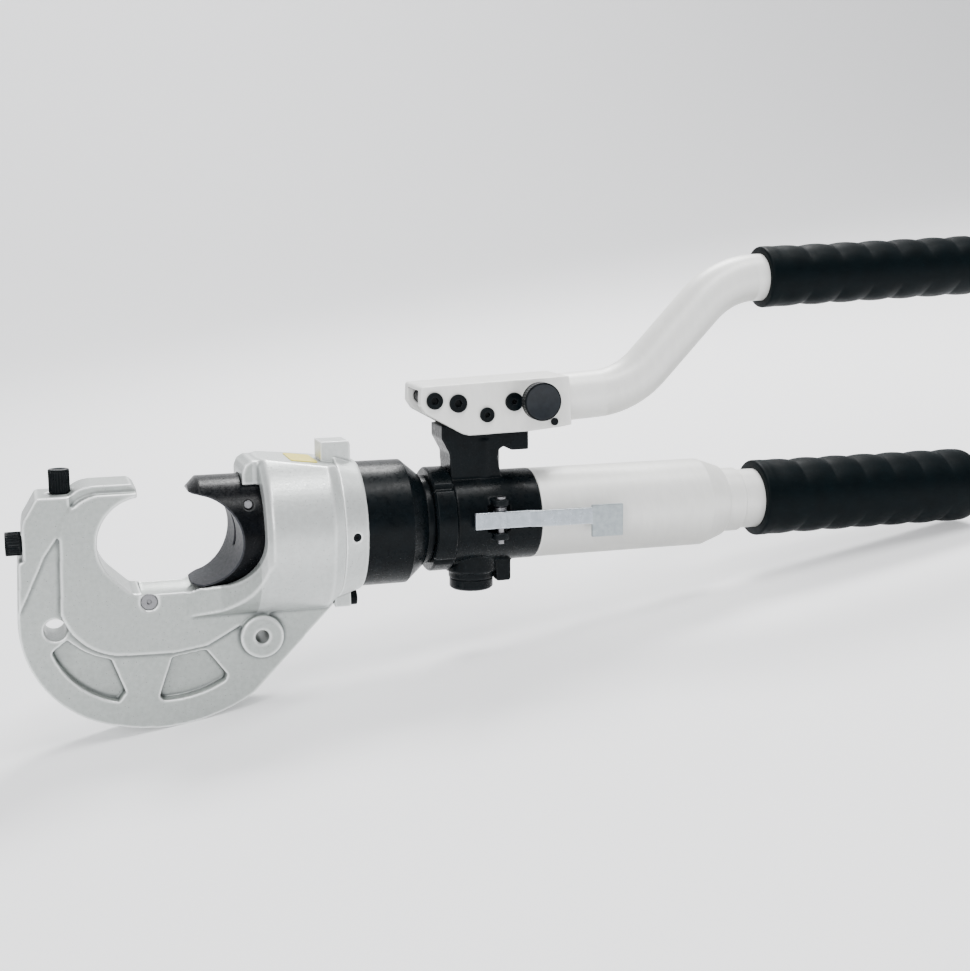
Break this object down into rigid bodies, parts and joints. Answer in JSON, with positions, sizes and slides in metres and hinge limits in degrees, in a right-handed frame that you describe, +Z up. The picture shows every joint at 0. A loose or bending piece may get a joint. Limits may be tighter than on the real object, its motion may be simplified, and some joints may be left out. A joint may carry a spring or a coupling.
{
  "type": "hydraulic crimping tool",
  "caption": "Hand-operated hydraulic crimping tool: swivelling open C-head with a sliding ram, black pump body, oil tube grip and S-bent pumping handle.",
  "frame": {"origin": "middle of the footprint, on the surface that the tool stands on with its jaw and grip end", "axes": "+X along the tool from the jaw to the grips, +Z up, +Y across the jaw away from the lever and knob side"},
  "size_m": [0.6144, 0.092, 0.1999],
  "materials": {
    "forged_alloy": "satin zinc-plated forging",
    "blackened_steel": "satin black oxide",
    "black_ram": "black, satin",
    "silver_tube": "satin, pale",
    "zinc_steel": "zinc-plated",
    "bright_steel": "turned",
    "spring_steel": "drawn wire",
    "bronze": "turned",
    "seal_rubber": "matt",
    "grip_rubber": "matt, moulded waves",
    "label_yellow": "plain, no print"
  },
  "bodies": {
    "pump": {"cylinder": "blackened_steel", "collar_nut": "blackened_steel", "pump_body": "blackened_steel", "valve_cap": "blackened_steel", "suction_valve": "bright_steel", "relief_valve": "bright_steel", "delivery_valve": "bright_steel", "plunger_gland": "bronze", "plunger_seal": "seal_rubber", "return_bolt": "bright_steel", "swivel_snap_ring": "bright_steel", "spigot_seal": "seal_rubber", "return_spring": "spring_steel", "lever_pin": "bright_steel", "lever_spring": "spring_steel", "reservoir_tube": "silver_tube", "step_ring": "silver_tube", "tail_tube": "silver_tube", "oil_bladder": "seal_rubber", "filler_plug": "blackened_steel", "tail_plug": "blackened_steel", "fixed_grip": "grip_rubber"},
    "head": {"head_frame": "forged_alloy", "retaining_ring": "forged_alloy", "ring_screw": "blackened_steel", "ring_grub_screw": "blackened_steel", "label_plate": "label_yellow", "die_clip_pin": "bright_steel", "head_scraper_ring": "seal_rubber", "top_button_spring": "spring_steel", "front_button_spring": "spring_steel"},
    "top_button": {"top_button": "blackened_steel"},
    "front_button": {"front_button": "blackened_steel"},
    "ram": {"ram": "black_ram", "die_catch": "spring_steel", "catch_screw": "bright_steel", "piston_seal": "seal_rubber", "piston_guide_ring": "bronze", "spring_retainer": "bright_steel"},
    "handle": {"clevis": "silver_tube", "handle_tube": "silver_tube", "handle_grip": "grip_rubber", "handle_plug": "blackened_steel", "pivot_pin": "blackened_steel", "stop_bolt": "blackened_steel", "plunger_pin": "blackened_steel", "side_stud": "blackened_steel", "cheek_screw": "blackened_steel", "knob_spring": "spring_steel"},
    "lock_knob": {"lock_knob": "blackened_steel"},
    "plunger": {"plunger": "bright_steel"},
    "release_lever": {"release_lever": "zinc_steel"},
    "release_valve": {"release_pin": "bright_steel"}
  },
  "joints": [
    {"name": "head_swivel", "type": "hinge", "parent": "pump", "child": "head", "pos_m": [-0.12562, 0, 0.08843], "axis": [0.9881, 0, -0.1537], "range_deg": [-90, 90]},
    {"name": "ram_stroke", "type": "slide", "parent": "head", "child": "ram", "axis": [-0.9881, 0, 0.1537], "range_m": [0, 0.025], "stiffness_N_per_m": 2500, "springref_m": -0.02, "deforming": ["return_spring"]},
    {"name": "handle_swing", "type": "hinge", "parent": "pump", "child": "handle", "pos_m": [-0.0496, 0, 0.14583], "axis": [0, -1, 0], "range_deg": [0, 45]},
    {"name": "plunger_stroke", "type": "slide", "parent": "pump", "child": "plunger", "axis": [0.1537, 0, 0.9881], "range_m": [0, 0.0145]},
    {"name": "top_button_press", "type": "slide", "parent": "head", "child": "top_button", "axis": [-0.1537, 0, -0.9881], "range_m": [0, 0.003], "stiffness_N_per_m": 900, "springref_m": -0.001, "deforming": ["top_button_spring"]},
    {"name": "front_button_pull", "type": "slide", "parent": "head", "child": "front_button", "axis": [-0.9881, 0, 0.1537], "range_m": [0, 0.003], "stiffness_N_per_m": 900, "springref_m": -0.001, "deforming": ["front_button_spring"]},
    {"name": "lock_knob_push", "type": "slide", "parent": "handle", "child": "lock_knob", "axis": [0, 1, 0], "range_m": [0, 0.005], "deforming": ["knob_spring"]},
    {"name": "release_lever_press", "type": "hinge", "parent": "pump", "child": "release_lever", "pos_m": [-0.03866, -0.028, 0.0749], "axis": [0.1537, 0, 0.9881], "range_deg": [0, 3.5], "stiffness_Nm_per_rad": 2, "springref_deg": -2.86, "deforming": ["lever_spring"]},
    {"name": "release_valve_lift", "type": "slide", "parent": "pump", "child": "release_valve", "axis": [0, 1, 0], "range_m": [0, 0.00086]}
  ],
  "couplings": [
    {"joint": "plunger_stroke", "follows": "handle_swing", "m_per_rad": 0.0178},
    {"joint": "release_valve_lift", "follows": "release_lever_press", "m_per_rad": 0.014}
  ]
}
